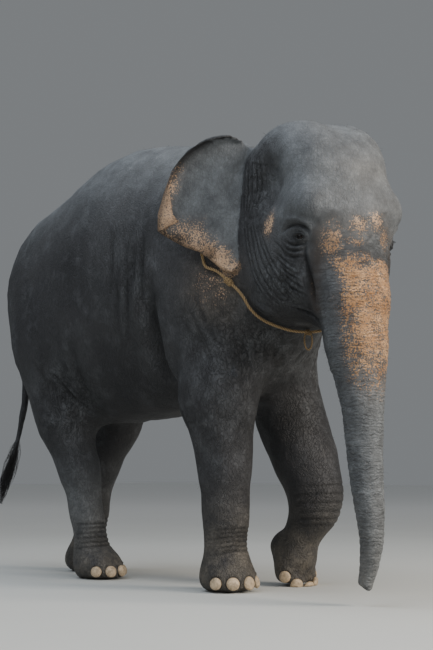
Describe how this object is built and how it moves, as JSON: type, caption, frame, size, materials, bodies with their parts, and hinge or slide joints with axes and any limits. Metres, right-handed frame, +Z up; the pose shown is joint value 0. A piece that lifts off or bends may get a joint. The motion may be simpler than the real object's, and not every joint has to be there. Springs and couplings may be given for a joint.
{
  "type": "asian elephant",
  "caption": "Life-size still model of an adult Asian elephant cow in a slow walk, head turned to her right, with a plain rope round the neck.",
  "frame": {"origin": "centre of the footprint box, on the floor under the soles", "axes": "+Z up; the elephant faces -Y, with the head turned towards -X; +Y is towards the tail and -X is her right side"},
  "size_m": [1.1498, 3.2234, 2.4288],
  "materials": {
    "hide": "dry wrinkled grey hide with pink and tan speckled patches on the trunk and ears",
    "nail": "dull cream horn",
    "eye": "wet dark brown",
    "bristle": "stiff black bristles",
    "rope": "twisted natural fibre, tan"
  },
  "bodies": {
    "root": {"torso_front": "hide", "torso_middle": "hide", "torso_rear": "hide", "neck": "hide", "head": "hide", "lower_jaw": "hide", "trunk_root": "hide", "trunk_middle": "hide", "trunk_lower": "hide", "trunk_tip": "hide", "ear_right": "hide", "ear_left": "hide", "eye_right": "eye", "eye_left": "eye", "foreleg_right_upper": "hide", "foreleg_right_lower": "hide", "forefoot_right": "hide", "foreleg_left_upper": "hide", "foreleg_left_lower": "hide", "forefoot_left": "hide", "hindleg_right_upper": "hide", "hindleg_right_lower": "hide", "hindfoot_right": "hide", "hindleg_left_upper": "hide", "hindleg_left_lower": "hide", "hindfoot_left": "hide", "nail_forefoot_right_1": "nail", "nail_forefoot_right_2": "nail", "nail_forefoot_right_3": "nail", "nail_forefoot_right_4": "nail", "nail_forefoot_right_5": "nail", "nail_forefoot_left_1": "nail", "nail_forefoot_left_2": "nail", "nail_forefoot_left_3": "nail", "nail_forefoot_left_4": "nail", "nail_forefoot_left_5": "nail", "nail_hindfoot_right_1": "nail", "nail_hindfoot_right_2": "nail", "nail_hindfoot_right_3": "nail", "nail_hindfoot_right_4": "nail", "nail_hindfoot_left_1": "nail", "nail_hindfoot_left_2": "nail", "nail_hindfoot_left_3": "nail", "nail_hindfoot_left_4": "nail", "tail": "hide", "tail_switch": "bristle", "neck_rope": "rope"}
  },
  "joints": []
}
